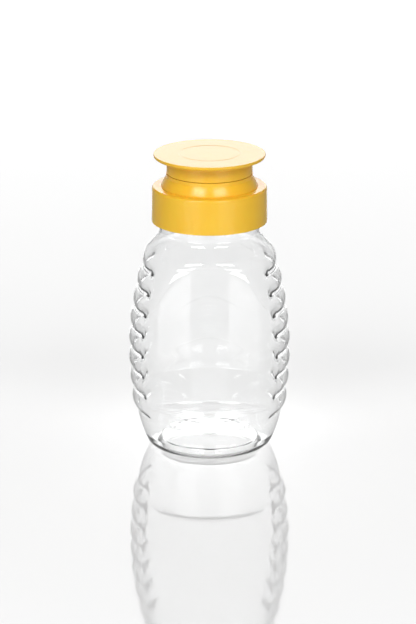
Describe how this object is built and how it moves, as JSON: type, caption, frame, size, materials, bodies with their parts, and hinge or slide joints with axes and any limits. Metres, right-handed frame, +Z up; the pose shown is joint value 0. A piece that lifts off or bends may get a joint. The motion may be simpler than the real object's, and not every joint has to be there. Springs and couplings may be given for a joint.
{
  "type": "honey dispenser",
  "caption": "Clear ribbed squeeze bottle with a screw collar holding a slit valve, and a pull-off cover whose wide disc lets it stand upside down.",
  "frame": {"origin": "centre of the bottle's standing ring, on the surface it stands on", "axes": "+Z up along the bottle's axis, towards the cover; the label panels face -Y (front) and +Y"},
  "size_m": [0.0773, 0.0747, 0.1438],
  "materials": {
    "clear_bottle": "clear blown PET, glossy",
    "yellow_cap": "yellow moulded polypropylene, satin gloss",
    "seal_foam": "white foamed liner",
    "silicone": "translucent silicone",
    "white_plastic": "natural polypropylene"
  },
  "bodies": {
    "bottle": {"bottle": "clear_bottle"},
    "seal": {"neck_seal": "seal_foam"},
    "collar": {"screw_collar": "yellow_cap", "valve_body": "silicone", "valve_retainer": "white_plastic"},
    "cover": {"cover": "yellow_cap"},
    "flap_front": {"valve_flap_front": "silicone"},
    "flap_right": {"valve_flap_right": "silicone"},
    "flap_back": {"valve_flap_back": "silicone"},
    "flap_left": {"valve_flap_left": "silicone"}
  },
  "joints": [
    {"name": "collar_rise", "type": "slide", "parent": "bottle", "child": "seal", "axis": [0, 0, 1], "range_m": [0, 0.0053]},
    {"name": "collar_turn", "type": "hinge", "parent": "seal", "child": "collar", "pos_m": [0, 0, 0.118], "axis": [0, 0, 1], "range_deg": [0, 450]},
    {"name": "cover_pull", "type": "slide", "parent": "collar", "child": "cover", "axis": [0, 0, 1], "range_m": [0, 0.04]},
    {"name": "flap_front_open", "type": "hinge", "parent": "collar", "child": "flap_front", "pos_m": [0, -0.00338, 0.13584], "axis": [1, 0, 0], "range_deg": [0, 50], "stiffness_Nm_per_rad": 0.00005},
    {"name": "flap_right_open", "type": "hinge", "parent": "collar", "child": "flap_right", "pos_m": [0.00338, 0, 0.13584], "axis": [0, 1, 0], "range_deg": [0, 50], "stiffness_Nm_per_rad": 0.00005},
    {"name": "flap_back_open", "type": "hinge", "parent": "collar", "child": "flap_back", "pos_m": [0, 0.00338, 0.13584], "axis": [-1, 0, 0], "range_deg": [0, 50], "stiffness_Nm_per_rad": 0.00005},
    {"name": "flap_left_open", "type": "hinge", "parent": "collar", "child": "flap_left", "pos_m": [-0.00338, 0, 0.13584], "axis": [0, -1, 0], "range_deg": [0, 50], "stiffness_Nm_per_rad": 0.00005}
  ],
  "couplings": [
    {"joint": "collar_rise", "follows": "collar_turn", "m_per_rad": 0.0006737},
    {"joint": "flap_right_open", "follows": "flap_front_open", "ratio": 1},
    {"joint": "flap_back_open", "follows": "flap_front_open", "ratio": 1},
    {"joint": "flap_left_open", "follows": "flap_front_open", "ratio": 1}
  ]
}
